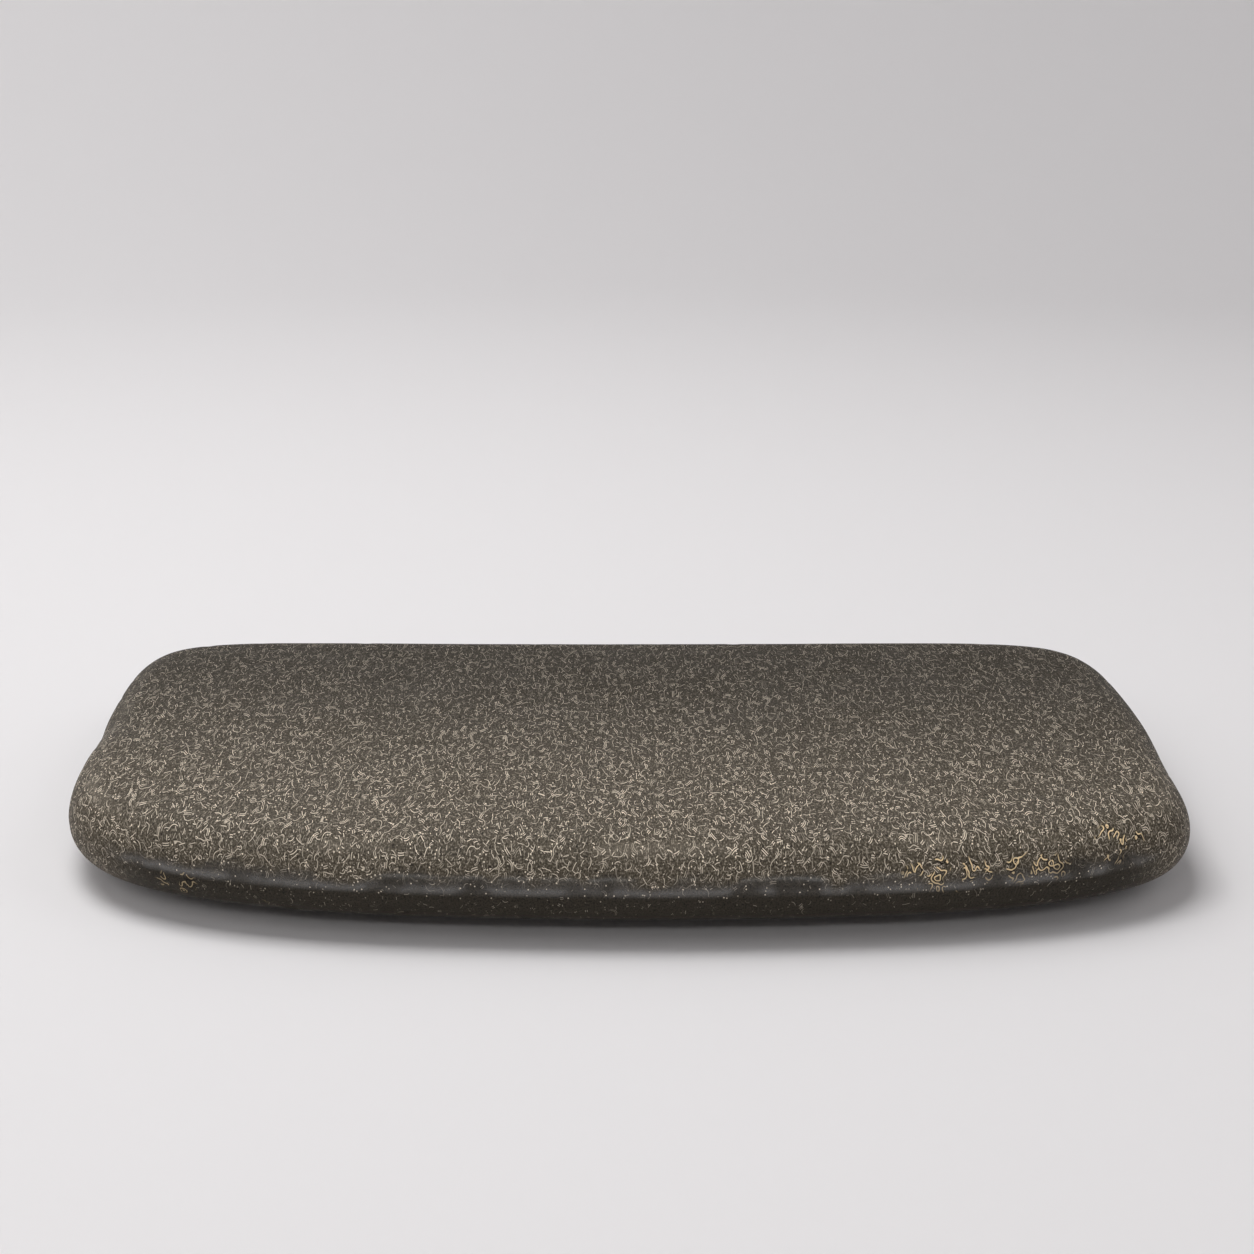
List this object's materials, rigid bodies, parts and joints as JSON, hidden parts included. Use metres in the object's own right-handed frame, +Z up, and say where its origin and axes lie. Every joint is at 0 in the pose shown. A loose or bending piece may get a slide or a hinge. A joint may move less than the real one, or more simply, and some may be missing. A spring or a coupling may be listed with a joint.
{
  "type": "granite slab",
  "caption": "Heavy rounded stone slab with a polished bullnose edge, a gently dished honed top and a flat underside, raised on small rubber feet.",
  "frame": {"origin": "on the floor under the feet, below the centre of the bounding box", "axes": "+X along the slab to its right end, +Y from the bowed front edge to the back edge, +Z up"},
  "size_m": [0.457, 0.305, 0.0376],
  "materials": {
    "polished_granite": "satin",
    "foot_rubber": "matte",
    "adhesive_film": "satin"
  },
  "bodies": {
    "root": {"granite_slab": "polished_granite", "foot_front_left": "foot_rubber", "foot_front_right": "foot_rubber", "foot_back_left": "foot_rubber", "foot_back_right": "foot_rubber", "adhesive_disc_front_left": "adhesive_film", "adhesive_disc_front_right": "adhesive_film", "adhesive_disc_back_left": "adhesive_film", "adhesive_disc_back_right": "adhesive_film"}
  },
  "joints": []
}
